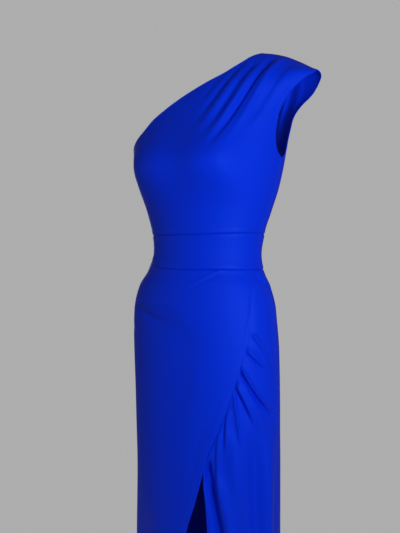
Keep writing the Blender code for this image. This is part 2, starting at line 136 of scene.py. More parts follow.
CHART_RADIUS = 0.140
NORMAL_TURN = 0.2
NORMAL_RISE = 0.001

CAP_OUT = 0.015
CAP_ANGLE = 104
CAP_HEIGHT = 0.324
CAP_TURN = 20
CAP_SPAN = 0.030

SEAM_DIP = 0.0014
SEAM_DIP_WIDTH = 0.0018
ALLOWANCE_RISE = 0.00025
ALLOWANCE_WIDTH = 0.011
TURN_ROLL = 0.0011
TURN_ROLL_WIDTH = 0.0014
TURN_RISE = 0.00040
TURN_WIDTH = 0.0085
TURN_STEP = 0.0022
EDGE_THINNING = 0.55

BODICE_COLUMNS = 190
BODICE_ROWS = 200
EDGE_CROWDING = 0.72
EDGE_POINTS = 600


def column(table, columns, wanted):
    """One named column of a table."""
    return np.array([row[columns.index(wanted)] for row in table], float)


def smooth(xs, ys, at):
    """A smooth curve through the table's points that never overshoots them."""
    steps = np.diff(xs)
    rises = np.diff(ys) / steps
    before = 2 * steps[1:] + steps[:-1]
    after = steps[1:] + 2 * steps[:-1]
    level = rises[1:] * rises[:-1] <= 0
    safe_low = np.where(level, 1.0, rises[:-1])
    safe_high = np.where(level, 1.0, rises[1:])
    inner = (before + after) / (before / safe_low + after / safe_high)
    slopes = np.concatenate([rises[:1], np.where(level, 0.0, inner), rises[-1:]])
    spot = np.clip(np.searchsorted(xs, at) - 1, 0, len(xs) - 2)
    step = steps[spot]
    t = np.clip((at - xs[spot]) / step, 0, 1)
    low = (2 * t**3 - 3 * t**2 + 1) * ys[spot] + (t**3 - 2 * t**2 + t) * step * slopes[spot]
    high = (3 * t**2 - 2 * t**3) * ys[spot + 1] + (t**3 - t**2) * step * slopes[spot + 1]
    return low + high


def ease(value):
    """Zero below 0, one above 1, smooth between."""
    t = np.clip(value, 0, 1)
    return t * t * (3 - 2 * t)


def section(height):
    """The section's sizes at each height, in the order of the table's columns after the height."""
    heights = column(SECTIONS, SECTION_COLUMNS, "height")
    return [smooth(heights, column(SECTIONS, SECTION_COLUMNS, name), height) for name in SECTION_COLUMNS[1:]]


def ring(angle, height):
    """A point on the plain section at an angle in degrees and a height."""
    turn = np.radians(angle)
    width, front, back, side, _, square = section(height)
    fill = 1 + square * np.sin(2 * turn) ** 2
    reach = np.where(np.cos(turn) > 0, front + side, back - side)
    x = width * np.sin(turn) * fill
    y = side - reach * np.cos(turn) * fill
    return np.stack([x, y, np.broadcast_to(height, x.shape)], axis=-1)


def angle_of(points):
    """The angle at which a point lies from its section's middle."""
    width, front, back, side, _, _ = section(points[..., 2])
    forward = side - points[..., 1]
    reach = np.where(forward > 0, front + side, back - side)
    return np.degrees(np.arctan2(points[..., 0] / width, forward / reach))


def body(angle, height):
    """The dress's smooth form at an angle and a height: its section, bust and shift, without folds."""
    points = ring(angle, height)
    x = points[..., 0]
    span = np.where(height < BUST_HEIGHT, BUST_BELOW, BUST_ABOVE)
    crown = np.exp(-(((height - BUST_HEIGHT) / span) ** 2))
    beside = np.clip(np.abs(x) - BUST_APART, 0, None)
    across = np.exp(-((beside / BUST_WIDTH) ** 2)) - BUST_HOLLOW * np.exp(-((x / BUST_HOLLOW_WIDTH) ** 2))
    facing = np.clip(np.cos(np.radians(angle)), 0, 1)
    out = BUST_OUT * crown * across * facing * (2 - facing)
    return points + np.stack([section(height)[4] + 0 * x, -out, 0 * x], axis=-1)


def outward(angle, height):
    """The direction straight out of the smooth form."""
    around = body(angle + NORMAL_TURN, height) - body(angle - NORMAL_TURN, height)
    up = body(angle, height + NORMAL_RISE) - body(angle, height - NORMAL_RISE)
    normal = np.cross(around, up)
    return normal / np.linalg.norm(normal, axis=-1, keepdims=True)


def shoulder_rest():
    """The point that is the origin: the wall's inner side under the middle of the shoulder seam."""
    cad_wall = 0.0020
    height = (NECK_POINT + SHOULDER_TIP) / 2
    angle = np.array(90.0)
    return body(angle, height) - outward(angle, height) * cad_wall


def crease(across, up, start, end, bow, width, depth, root, lean=0.0):
    """One soft fold on a flat chart in metres: full past its root, fading to its end, steeper on one side."""
    run = np.subtract(end, start)
    length = np.hypot(run[0], run[1])
    along = ((across - start[0]) * run[0] + (up - start[1]) * run[1]) / length**2
    aside = ((across - start[0]) * run[1] - (up - start[1]) * run[0]) / length
    aside = aside - 4 * bow * along * (1 - along)
    spread = width * np.where(aside > 0, 1 + lean, 1 - lean)
    shown = ease(along * length / root) * ease((1 - along) / FOLD_FADE)
    return depth * np.exp(-((aside / spread) ** 2)) * shown


def pleats(table, x, height):
    """How far the shoulder pleats move the cloth."""
    moved = np.zeros(np.shape(height))
    for row in table:
        pleat = dict(zip(PLEAT_COLUMNS, row))
        top = (pleat["top_x"], pleat["top_height"])
        end = (pleat["end_x"], pleat["end_height"])
        form = (pleat["width"], pleat["depth"], pleat["root"], pleat["lean"])
        moved = moved + crease(x, height, top, end, 0, *form)
    return moved


def spaced(angles, heights, facets):
    """Points along an edge, equally far apart on the cloth."""
    points = body(angles, heights)
    steps = np.linalg.norm(np.diff(points, axis=0), axis=1)
    run = np.concatenate([[0], np.cumsum(steps)])
    places = np.linspace(0, run[-1], facets + 1)
    return np.stack([np.interp(places, run, angles), np.interp(places, run, heights)], axis=-1)


def joined(first, second):
    """Two edges made one, with their shared point once."""
    return np.concatenate([first, second[1:]])


def neckline(table, facets):
    """The cut edge across the chest or the back."""
    angles = column(table, NECKLINE_COLUMNS, "angle")
    heights = column(table, NECKLINE_COLUMNS, "height")
    fine = np.linspace(angles[0], angles[-1], EDGE_POINTS)
    return spaced(fine, smooth(angles, heights, fine), facets)


NECK_SHARE = 0.50
SIDE_SHARE = 0.32
FINISH_CHANGE = 0.03


def side_and_armhole(name):
    """From the waist seam up the left side seam, then up one edge of the armhole."""
    heights = column(ARMHOLE, ARMHOLE_COLUMNS, "height")
    angles = column(ARMHOLE, ARMHOLE_COLUMNS, name)
    side_facets = round(EDGE_POINTS * SIDE_SHARE)
    side_heights = np.linspace(BAND_TOP, UNDERARM, EDGE_POINTS)
    side = spaced(np.full(EDGE_POINTS, 90.0), side_heights, side_facets)
    fine = np.linspace(UNDERARM, SHOULDER_TIP, EDGE_POINTS)
    return joined(side, spaced(smooth(heights, angles, fine), fine, EDGE_POINTS - side_facets))


def shoulder_seam():
    """From the neck point out to the shoulder's tip."""
    heights = np.linspace(NECK_POINT, SHOULDER_TIP, EDGE_POINTS)
    return spaced(np.full(EDGE_POINTS, 90.0), heights, EDGE_POINTS - round(EDGE_POINTS * NECK_SHARE))


def right_side(angle):
    """The right side seam, from the waist seam up to the notch under the bare arm."""
    heights = np.linspace(BAND_TOP, RIGHT_NOTCH, EDGE_POINTS)
    return spaced(np.full(EDGE_POINTS, float(angle)), heights, EDGE_POINTS)


def band_top(angle):
    """The seam between bodice and waistband, which dips a little at the front."""
    return BAND_TOP - BAND_TOP_DIP * np.clip(np.cos(np.radians(angle)), 0, 1) ** 2


def waist_seam(first, last):
    """The bodice's lower edge."""
    angles = np.linspace(first, last, EDGE_POINTS)
    return spaced(angles, band_top(angles), EDGE_POINTS)


def crowded(count, crowding=EDGE_CROWDING):
    """Shares from 0 to 1, closer together near both ends, where seams and turned edges are."""
    even = np.linspace(0, 1, count + 1)
    return even - crowding * np.sin(2 * np.pi * even) / (2 * np.pi)


def read_edge(line, shares):
    """Places on the plain section at shares of an edge's length."""
    index = np.linspace(0, 1, len(line))
    return ring(np.interp(shares, index, line[:, 0]), np.interp(shares, index, line[:, 1]))


def patch(bottom, top, left, right, columns, rows):
    """A grid of angles and heights between four edges, evenly spread over the cloth."""
    across, up = crowded(columns), crowded(rows)
    bottom, top = read_edge(bottom, across), read_edge(top, across)
    left, right = read_edge(left, up), read_edge(right, up)
    u, v = across[None, :, None], up[:, None, None]
    ruled = (1 - v) * bottom[None] + v * top[None] + (1 - u) * left[:, None] + u * right[:, None]
    corners = (1 - v) * ((1 - u) * bottom[0] + u * bottom[-1]) + v * ((1 - u) * top[0] + u * top[-1])
    points = ruled - corners
    return np.stack([angle_of(points), points[..., 2]], axis=-1)


BORDERS = (("bottom", 0, False), ("top", 0, True), ("left", 1, False), ("right", 1, True))
SEWN = (1, 0, TURN_WIDTH)


def edge_distance(points, axis, from_end):
    """How far each point lies from one border, measured over the cloth along its grid line."""
    lengths = np.linalg.norm(np.diff(points, axis=axis), axis=-1)
    if from_end:
        lengths = np.flip(lengths, axis)
    run = np.cumsum(lengths, axis=axis)
    start = np.zeros_like(np.take(run, [0], axis=axis))
    run = np.concatenate([start, run], axis=axis)
    return np.flip(run, axis) if from_end else run


def finished(points, finish):
    """Small relief along the borders: a groove where a border is sewn, a rolled turning where it is free.

    finish gives each border its shares of groove and of turning at every grid line, and the
    turning's width. It returns the relief, how far the wall thins and where the iron has pressed.
    """
    relief = np.zeros(points.shape[:2])
    thinning = np.zeros(points.shape[:2])
    pressed = np.zeros(points.shape[:2])
    for name, axis, from_end in BORDERS:
        away = edge_distance(points, axis, from_end)
        groove, turning, width = (np.asarray(value, float) for value in finish[name])
        if axis == 1:
            groove, turning = groove.reshape(-1, 1), turning.reshape(-1, 1)
        roll = np.exp(-((away / TURN_ROLL_WIDTH) ** 2))
        doubled = ease((width - away) / TURN_STEP)
        allowance = ease((ALLOWANCE_WIDTH - away) / TURN_STEP)
        sewn = ALLOWANCE_RISE * allowance - SEAM_DIP * np.exp(-((away / SEAM_DIP_WIDTH) ** 2))
        relief += turning * (TURN_RISE * doubled - TURN_ROLL * roll) + groove * sewn
        thinning = np.maximum(thinning, turning * roll)
        pressed = np.maximum(pressed, np.maximum(turning * doubled, groove * allowance))
    return relief, thinning, pressed


def parted(points):
    """The grid with its border drawn in by half of the seam's gap."""
    moved = points.copy()
    for axis in (0, 1):
        for border, inside in ((0, 1), (-1, -2)):
            at = [slice(None), slice(None)]
            near = [slice(None), slice(None)]
            at[axis], near[axis] = border, inside
            way = points[tuple(near)] - points[tuple(at)]
            moved[tuple(at)] += way / np.linalg.norm(way, axis=-1, keepdims=True) * SEAM_GAP / 2
    return moved


def cloth_shell(name, grid, lift, finish, material):
    """A thin closed shell of cloth on its panel's form, with its folds, seams and turned edges."""
    angle, height = grid[..., 0], grid[..., 1]
    normal = outward(angle, height)
    form = body(angle, height)
    folded = form + normal * lift(angle, height)[..., None]
    relief, thinning, pressed = finished(folded, finish)
    outer = parted(folded) + normal * relief[..., None]
    inner = outer - normal * (CLOTH_WALL * (1 - EDGE_THINNING * thinning))[..., None]
    rows, columns = angle.shape
    number = np.arange(rows * columns).reshape(rows, columns)
    corners = [number[:-1, :-1], number[:-1, 1:], number[1:, 1:], number[1:, :-1]]
    quads = np.stack(corners, axis=-1).reshape(-1, 4)
    border = np.concatenate([number[0, :], number[1:, -1], number[-1, -2::-1], number[-2:0:-1, 0]])
    following = np.roll(border, -1)
    inside = number.size
    rims = np.stack([following, border, border + inside, following + inside], axis=-1)
    faces = np.concatenate([quads, quads[:, ::-1] + inside, rims])
    places = np.concatenate([outer.reshape(-1, 3), inner.reshape(-1, 3)]) - shoulder_rest()
    mesh = bpy.data.meshes.new(name)
    mesh.from_pydata(places.tolist(), [], faces.tolist())
    cut = mesh.uv_layers.new(name="Cut")
    loops = np.empty(len(mesh.loops), np.int32)
    mesh.loops.foreach_get("vertex_index", loops)
    run_across = edge_distance(form, 1, False) + 0 * height
    run_up = edge_distance(form, 0, False)
    chart = np.stack([run_across, run_up], axis=-1).reshape(-1, 2)
    cut.data.foreach_set("uv", np.tile(chart, (2, 1))[loops].astype(np.float32).ravel())
    ironed = mesh.attributes.new("pressed", "FLOAT", "POINT")
    ironed.data.foreach_set("value", np.tile(pressed.ravel(), 2).astype(np.float32))
    mesh.shade_smooth()
    mesh.materials.append(material)
    piece = bpy.data.objects.new(name, mesh)
    bpy.context.scene.collection.objects.link(piece)
    return piece


CREPE_BLUE = (0.0004, 0.026, 0.710)
# The deeper of the two blues is painted shade in the weave's hollows between the yarns, mixed with the
# crepe's random darker pebbles.
CREPE_DARK_TONE_AND_HOLLOW_SHADE = (0.0003, 0.019, 0.560)
CREPE_ROUGHNESS = 0.58
CREPE_UNEVENNESS = 0.08
CREPE_SPECULAR = 0.30
CREPE_SHINE = (0.10, 0.32, 1.0)
DRAPE_RELIEF = 0.0015
WEAVE_RELIEF = 0.00015
WEAVE_HOLLOWS = 0.25
WEAVE_TOPS = 0.60
WEAVE_SIZES = (
    ("Yarns per metre", 1900.0),
    ("Yarn waver", 0.0006),
    ("Pebbles per metre", 1300.0),
    ("Pebble share", 0.6),
    ("Weave depth", 0.8),
    ("Drape per metre", 9.0),
    ("Drape depth", 0.12),
    ("Press shine", 0.6),
)


def add_socket(tree, name, kind, way, value=None):
    """A named input or output of a node group."""
    socket = tree.interface.new_socket(name, in_out=way, socket_type=kind)
    if value is not None:
        socket.default_value = value
    return socket


def crepe_weave():
    """The crepe's overtwisted yarns, a fine plain weave broken into pebbles, and its soft unevenness.

    The yarns follow the cut of each piece. It puts out a shade mask, which paints shade into the weave's
    hollows and mixes in the pebbles' random tone, a roughness mask and a normal.
    """
    tree = bpy.data.node_groups.new("crepe_weave", "ShaderNodeTree")
    for size_name, value in WEAVE_SIZES:
        add_socket(tree, size_name, "NodeSocketFloat", "INPUT", value)
    add_socket(tree, "Shade", "NodeSocketFloat", "OUTPUT")
    add_socket(tree, "Roughness mask", "NodeSocketFloat", "OUTPUT")
    add_socket(tree, "Normal", "NodeSocketVector", "OUTPUT")
    links = tree.links
    inputs = tree.nodes.new("NodeGroupInput")
    outputs = tree.nodes.new("NodeGroupOutput")
    place = tree.nodes.new("ShaderNodeTexCoord")
    cut = tree.nodes.new("ShaderNodeUVMap")
    cut.uv_map = "Cut"

    def noise(coordinates, detail):
        texture = tree.nodes.new("ShaderNodeTexNoise")
        texture.inputs["Detail"].default_value = detail
        links.new(coordinates, texture.inputs["Vector"])
        return texture

    def math(operation, first, second):
        step = tree.nodes.new("ShaderNodeMath")
        step.operation = operation
        for socket, value in zip(step.inputs, (first, second)):
            if isinstance(value, (int, float)):
                socket.default_value = value
            else:
                links.new(value, socket)
        return step.outputs["Value"]

    stray = noise(cut.outputs["UV"], 2.0)
    links.new(inputs.outputs["Pebbles per metre"], stray.inputs["Scale"])
    waver = tree.nodes.new("ShaderNodeVectorMath")
    waver.operation = "MULTIPLY_ADD"
    links.new(stray.outputs["Color"], waver.inputs[0])
    links.new(inputs.outputs["Yarn waver"], waver.inputs[1])
    links.new(cut.outputs["UV"], waver.inputs[2])
    bands_per_metre = math("MULTIPLY", inputs.outputs["Yarns per metre"], np.pi / 10)
    yarns = []
    for direction in ("X", "Y"):
        yarn = tree.nodes.new("ShaderNodeTexWave")
        yarn.bands_direction = direction
        links.new(waver.outputs["Vector"], yarn.inputs["Vector"])
        links.new(bands_per_metre, yarn.inputs["Scale"])
        yarns.append(yarn.outputs["Fac"])
    pebbles = noise(place.outputs["Object"], 3.0)
    links.new(inputs.outputs["Pebbles per metre"], pebbles.inputs["Scale"])
    surface = tree.nodes.new("ShaderNodeMix")
    links.new(inputs.outputs["Pebble share"], surface.inputs["Factor"])
    links.new(math("MULTIPLY", *yarns), surface.inputs["A"])
    links.new(pebbles.outputs["Fac"], surface.inputs["B"])
    drape = noise(place.outputs["Object"], 2.0)
    links.new(inputs.outputs["Drape per metre"], drape.inputs["Scale"])
    broad = tree.nodes.new("ShaderNodeBump")
    broad.inputs["Distance"].default_value = DRAPE_RELIEF
    links.new(inputs.outputs["Drape depth"], broad.inputs["Strength"])
    links.new(drape.outputs["Fac"], broad.inputs["Height"])
    fine = tree.nodes.new("ShaderNodeBump")
    fine.inputs["Distance"].default_value = WEAVE_RELIEF
    links.new(inputs.outputs["Weave depth"], fine.inputs["Strength"])
    links.new(surface.outputs["Result"], fine.inputs["Height"])
    links.new(broad.outputs["Normal"], fine.inputs["Normal"])
    ironed = tree.nodes.new("ShaderNodeAttribute")
    ironed.attribute_name = "pressed"
    shine = math("MULTIPLY", ironed.outputs["Fac"], inputs.outputs["Press shine"])
    dulled = math("MULTIPLY", math("ADD", drape.outputs["Fac"], surface.outputs["Result"]), 0.5)
    links.new(math("SUBTRACT", dulled, shine), outputs.inputs["Roughness mask"])
    # Painted shade: the low yarn crossings in the weave's hollows come out darker, mixed with the pebbles'
    # random tone.
    hollow_shade_and_pebble_tone = tree.nodes.new("ShaderNodeMapRange")
    hollow_shade_and_pebble_tone.inputs["From Min"].default_value = WEAVE_HOLLOWS
    hollow_shade_and_pebble_tone.inputs["From Max"].default_value = WEAVE_TOPS
    links.new(surface.outputs["Result"], hollow_shade_and_pebble_tone.inputs["Value"])
    links.new(hollow_shade_and_pebble_tone.outputs["Result"], outputs.inputs["Shade"])
    links.new(fine.outputs["Normal"], outputs.inputs["Normal"])
    return tree


WEAVE = crepe_weave()


def crepe(name):
    """Royal-blue crepe: a matt satin face with a pebbled weave whose hollows are painted a deeper blue as
    shade, a little shinier where it was pressed.
    """
    material = bpy.data.materials.new(name)
    material.use_nodes = True
    nodes, links = material.node_tree.nodes, material.node_tree.links
    shader = nodes["Principled BSDF"]
    shader.inputs["Specular IOR Level"].default_value = CREPE_SPECULAR
    shader.inputs["Specular Tint"].default_value = (*CREPE_SHINE, 1.0)
    weave = nodes.new("ShaderNodeGroup")
    weave.node_tree = WEAVE
    shade = nodes.new("ShaderNodeMix")
    shade.data_type = "RGBA"
    # Painted shade: the deeper blue goes where the weave is low, into its hollows, together with the random
    # darker pebbles.
    shade.inputs[6].default_value = (*CREPE_DARK_TONE_AND_HOLLOW_SHADE, 1.0)
    shade.inputs[7].default_value = (*CREPE_BLUE, 1.0)
    rough = nodes.new("ShaderNodeMapRange")
    rough.inputs["To Min"].default_value = CREPE_ROUGHNESS - CREPE_UNEVENNESS
    rough.inputs["To Max"].default_value = CREPE_ROUGHNESS + CREPE_UNEVENNESS
    links.new(weave.outputs["Shade"], shade.inputs[0])
    links.new(weave.outputs["Roughness mask"], rough.inputs["Value"])
    links.new(shade.outputs[2], shader.inputs["Base Color"])
    links.new(rough.outputs["Result"], shader.inputs["Roughness"])
    links.new(weave.outputs["Normal"], shader.inputs["Normal"])
    return material


BODICE_CREPE = crepe("bodice_crepe")
FRONT_TO_BACK = 0.3


def cap_flare(angle, height):
    """The shoulder cap stands a little away from the arm."""
    turned = (angle - CAP_ANGLE) / CAP_TURN
    raised = (height - CAP_HEIGHT) / CAP_SPAN
    return CAP_OUT * np.exp(-(turned**2) - raised**2)


def front_share(angle):
    """One on the front, none on the back, and half at the side and shoulder seams."""
    return ease(0.5 + np.cos(np.radians(angle)) / FRONT_TO_BACK)


BACK_PLEATS = (
    (0.190, 0.380, 0.150, 0.250, 0.0090, -0.0026, 0.3, 0.030),
    (0.166, 0.385, 0.112, 0.222, 0.0080, -0.0056, 0.4, 0.022),
    (0.146, 0.392, 0.082, 0.250, 0.0070, -0.0050, 0.4, 0.040),
    (0.156, 0.390, 0.097, 0.240, 0.0065, 0.0030, 0.0, 0.040),
    (0.124, 0.400, 0.058, 0.268, 0.0070, -0.0042, 0.4, 0.070),
    (0.104, 0.400, 0.034, 0.300, 0.0080, -0.0024, 0.3, 0.090),
)


def lift_bodice(angle, height):
    """Pleats and the cap's flare, one rule for both bodice pieces so that they meet."""
    x = body(angle, height)[..., 0]
    front = front_share(angle)
    moved = front * pleats(FRONT_PLEATS, x, height) + (1 - front) * pleats(BACK_PLEATS, x, height)
    return moved + cap_flare(angle, height)


front_top = joined(neckline(FRONT_NECKLINE, round(EDGE_POINTS * NECK_SHARE)), shoulder_seam())
front_sides = (right_side(-90), side_and_armhole("front_angle"))
front_grid = patch(waist_seam(-90, 90), front_top, *front_sides, BODICE_COLUMNS, BODICE_ROWS)
up_the_armhole = ease((crowded(BODICE_ROWS) - SIDE_SHARE) / FINISH_CHANGE + 0.5)
across_the_chest = ease((NECK_SHARE - crowded(BODICE_COLUMNS)) / FINISH_CHANGE + 0.5)
bodice_front = cloth_shell(
    "bodice_front_cloth",
    front_grid,
    lift_bodice,
    {
        "bottom": SEWN,
        "top": (1 - across_the_chest, across_the_chest, TURN_WIDTH),
        "left": SEWN,
        "right": (1 - up_the_armhole, up_the_armhole, TURN_WIDTH),
    },
    BODICE_CREPE,
)
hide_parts("bodice_front")
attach(bodice_front, "root")


# Bodice back
# The same crepe, cut from the left shoulder down to the right underarm, with its own pleats
# laid into the shoulder seam. It is sewn to the front at the shoulder and at both sides.

BACK_NECKLINE = (
    (90, 0.402),
    (110, 0.4005),
    (129, 0.396),
    (142, 0.379),
    (180, 0.303),
    (210, 0.248),
    (240, 0.215),
    (270, 0.208),
)

back_top = joined(shoulder_seam()[::-1], neckline(BACK_NECKLINE, round(EDGE_POINTS * NECK_SHARE)))
back_sides = (side_and_armhole("back_angle"), right_side(270))
back_grid = patch(waist_seam(90, 270), back_top, *back_sides, BODICE_COLUMNS, BODICE_ROWS)
back_grid[..., 0] = back_grid[..., 0] % 360
bodice_back = cloth_shell(
    "bodice_back_cloth",
    back_grid,
    lift_bodice,
    {
        "bottom": SEWN,
        "top": (1 - across_the_chest[::-1], across_the_chest[::-1], TURN_WIDTH),
        "left": (1 - up_the_armhole, up_the_armhole, TURN_WIDTH),
        "right": SEWN,
    },
    BODICE_CREPE,
)
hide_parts("bodice_back")
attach(bodice_back, "root")


# Waistband
# Two flat bands of the crepe, about 7 cm deep, seamed to the bodice above and the skirt below
# and to each other at the sides. The lower seam climbs a little at the right hip.

BAND_LOW = -0.036
BAND_LOW_RISE = 0.019
BAND_RISE_ANGLE = -80
BAND_RISE_SPREAD = 42
BAND_COLUMNS = 150
BAND_ROWS = 34
BAND_CREPE = crepe("waistband_crepe")


def band_low(angle):
    """The waistband's lower seam, which rises at the right hip."""
    turned = np.where(angle > 180, angle - 360, angle)
    return BAND_LOW + BAND_LOW_RISE * np.exp(-(((turned - BAND_RISE_ANGLE) / BAND_RISE_SPREAD) ** 2))


def band_grid(first, last):
    angles = first + (last - first) * crowded(BAND_COLUMNS)
    low = np.stack([angles, band_low(angles)], axis=-1)
    high = np.stack([angles, band_top(angles)], axis=-1)
    share = crowded(BAND_ROWS)[:, None, None]
    return low[None] * (1 - share) + high[None] * share


def lift_band(angle, height):
    """The waistband lies flat."""
    return np.zeros(np.shape(height))


SEWN_ALL_ROUND = {"bottom": SEWN, "top": SEWN, "left": SEWN, "right": SEWN}

for band_name, first_angle, last_angle in (("waistband_front", -90, 90), ("waistband_back", 90, 270)):
    around = band_grid(first_angle, last_angle)
    band = cloth_shell(band_name + "_cloth", around, lift_band, SEWN_ALL_ROUND, BAND_CREPE)
    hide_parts(band_name)
    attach(band, "root")


# Skirt front, wrapped piece
# The smooth front on the wearer's right. It crosses the front to the left hip, and its slanting
# edge takes in the tucks of the other front. Below the thigh that edge is free, one side of the
# slit, turned in and pressed like the hem.

WRAP_EDGE_COLUMNS = ("height", "wrap_angle", "slit_angle")
WRAP_EDGE = (
    (-1.080, -11.0, 38.0),
    (-0.800, -7.0, 32.0),
    (-0.660, -2.0, 25.5),
    (-0.546, 5.0, 16.5),
    (-0.489, 12.0, 8.0),
    (-0.440, 17.2, 1.2),
    (-0.425, 18.7, 0.0),
    (-0.402, 21.0, 0.0),
    (-0.353, 29.0, 0.0),
    (-0.309, 36.0, 0.0),
    (-0.257, 43.0, 0.0),
    (-0.193, 52.0, 0.0),
    (-0.168, 56.5, 0.0),
    (-0.114, 59.5, 0.0),
    (-0.068, 66.0, 0.0),
    (-0.036, 81.0, 0.0),
)
SLIT_TOP = -0.425
SLIT_START = 0.004
LAP_GROOVE = 0.28
SEAM_HOLD = 0.010
FOLD_COLUMNS = ("angle", "height", "end_angle", "end_height", "bow", "width", "depth", "root")
FALLS = (
    (75.0, -0.047, 108.0, -0.088, 0.000, 0.0046, -0.0064, 0.012),
    (79.0, -0.040, 114.0, -0.074, 0.000, 0.0050, 0.0010, 0.014),
    (62.0, -0.330, 58.0, -1.450, 0.006, 0.0260, -0.0065, 0.180),
    (76.0, -0.300, 74.0, -1.350, -0.004, 0.0240, 0.0060, 0.180),
    (44.0, -0.520, 44.0, -1.500, 0.000, 0.0200, 0.0080, 0.180),
    (95.0, -0.320, 96.0, -1.400, 0.005, 0.0240, -0.0060, 0.180),
    (-12.0, -0.560, -20.0, -1.700, 0.000, 0.0300, 0.0060, 0.180),
    (-36.0, -0.480, -44.0, -1.500, 0.004, 0.0280, -0.0055, 0.180),
    (-62.0, -0.420, -66.0, -1.500, 0.000, 0.0300, 0.0055, 0.180),
    (-84.0, -0.360, -88.0, -1.400, -0.004, 0.0260, -0.0050, 0.180),
    (-50.0, -0.108, -2.0, -0.148, 0.003, 0.0110, -0.0024, 0.050),
    (5.0, -0.130, 16.0, -0.235, 0.000, 0.0220, -0.0020, 0.050),
    (128.0, -0.260, 124.0, -1.500, 0.004, 0.0280, 0.0065, 0.180),
    (152.0, -0.180, 150.0, -1.450, -0.003, 0.0300, -0.0070, 0.180),
    (176.0, -0.300, 178.0, -1.500, 0.003, 0.0280, 0.0060, 0.180),
    (203.0, -0.190, 206.0, -1.450, 0.004, 0.0300, -0.0070, 0.180),
    (230.0, -0.280, 234.0, -1.450, -0.003, 0.0270, 0.0062, 0.180),
    (250.0, -0.340, 256.0, -1.400, 0.004, 0.0250, -0.0056, 0.180),
    (165.0, -0.060, 205.0, -0.085, 0.002, 0.0110, -0.0022, 0.040),
)
KNIFE_COLUMNS = (
    "angle", "height", "end_angle", "end_height", "bow", "above", "below", "depth", "sink", "edge",
)
KNIFE_ROOT = 0.007
KNIFE_FADE = 0.55
KNIFE_BLUNTING = 1.6
PLANE_EDGE_COLUMNS = ("height", "angle")
PLANE_EDGE = (
    (-0.440, 1.0),
    (-0.347, 6.5),
    (-0.288, 10.0),
    (-0.249, 13.0),
    (-0.214, 13.5),
    (-0.174, 11.5),
    (-0.146, 6.5),
    (-0.127, 2.0),
    (-0.111, -3.0),
    (-0.099, -15.0),
    (-0.090, -30.0),
)
PLANE_DEPTH = 0.0036
PLANE_WIDTH = 0.042
PLANE_BLUNTING = 0.003
PLANE_TOP_FADE = 0.045
PLANE_FOOT = -0.430
PLANE_FOOT_FADE = 0.180
PLANE_SIDE_FADE = 45
RIGHT_SEAM = -90
WRAP_CREASES = (
    (40.0, -0.036, -2.0, -0.092, 0.006, 0.0036, 0.0016, 0.006),
    (37.0, -0.043, -4.0, -0.100, 0.006, 0.0036, -0.0014, 0.006),
    (70.0, -0.050, 50.0, -0.190, -0.003, 0.0032, 0.0010, 0.020),
    (62.0, -0.080, 44.0, -0.240, -0.003, 0.0040, -0.0009, 0.020),
    (36.0, -0.270, 20.0, -0.400, 0.000, 0.0060, 0.0009, 0.030),
    (20.0, -0.330, 8.0, -0.470, 0.003, 0.0060, -0.0009, 0.030),
    (-66.0, -0.092, -2.0, -0.150, 0.003, 0.0062, -0.0019, 0.060),
    (-70.0, -0.150, -40.0, -0.176, 0.003, 0.0080, -0.0010, 0.030),
)
HEM = -1.050
HEM_WIDTH = 0.022
SLIT_HEM_WIDTH = 0.013
HEMMED = (0, 1, HEM_WIDTH)
RISE_FADE = -0.150
SKIRT_ROWS = 330
LEVEL_COLUMNS = ("share", "height")
LEVELS = (
    (0.000, -1.050),
    (0.070, -1.026),
    (0.180, -0.560),
    (0.315, -0.430),
    (0.790, -0.185),
    (0.970, -0.042),
    (1.000, -0.036),
)
WRAP_COLUMNS = 130
ROW_DROOP = 0.100
DROOP_TOP = -0.040
DROOP_FULL = -0.210
DROOP_FADE = -0.400
DROOP_FOOT = -0.800
SKIRT_CREPE = crepe("skirt_crepe")


def folds(table, angle, height):
    """How far the folds of a table move the cloth."""
    across = np.radians(angle) * CHART_RADIUS
    moved = np.zeros(np.shape(height))
    for row in table:
        fold = dict(zip(FOLD_COLUMNS, row))
        head = (np.radians(fold["angle"]) * CHART_RADIUS, fold["height"])
        tail = (np.radians(fold["end_angle"]) * CHART_RADIUS, fold["end_height"])
        form = (fold["bow"], fold["width"], fold["depth"], fold["root"])
        moved = moved + crease(across, height, head, tail, *form)
    return moved


def lift_skirt(angle, height):
    """The falls of the skirt, which run on round from the front to the back and end at the waistband."""
    turned = np.where(angle > 180, angle - 360, angle)
    falls = folds(FALLS, angle, height) + np.where(angle > 180, folds(FALLS, turned, height), 0)
    return falls * ease((band_low(angle) - height) / SEAM_HOLD)


def knife_folds(table, angle, height):
    """Folds that stand up over a sharp lower edge and run out softly on their upper side."""
    across = np.radians(angle) * CHART_RADIUS
    moved = np.zeros(np.shape(height))
    for row in table:
        fold = dict(zip(KNIFE_COLUMNS, row))
        head = np.array([np.radians(fold["angle"]) * CHART_RADIUS, fold["height"]])
        tail = np.array([np.radians(fold["end_angle"]) * CHART_RADIUS, fold["end_height"]])
        run = tail - head
        length = np.hypot(run[0], run[1])
        along = ((across - head[0]) * run[0] + (height - head[1]) * run[1]) / length**2
        aside = ((height - head[1]) * run[0] - (across - head[0]) * run[1]) / length
        aside = aside - 4 * fold["bow"] * along * (1 - along)
        shown = ease(along * length / KNIFE_ROOT) * ease((1 - along) / KNIFE_FADE)
        blunt = fold["edge"] * (1 + KNIFE_BLUNTING * np.clip(along, 0, 1))
        over = ease((aside + blunt) / (2 * blunt))
        ridge = fold["depth"] * over * np.exp(-((aside / fold["above"]) ** 2))
        hollow = fold["sink"] * (1 - over) * np.exp(-((aside / fold["below"]) ** 2))
        moved = moved + shown * (ridge - hollow)
    return moved


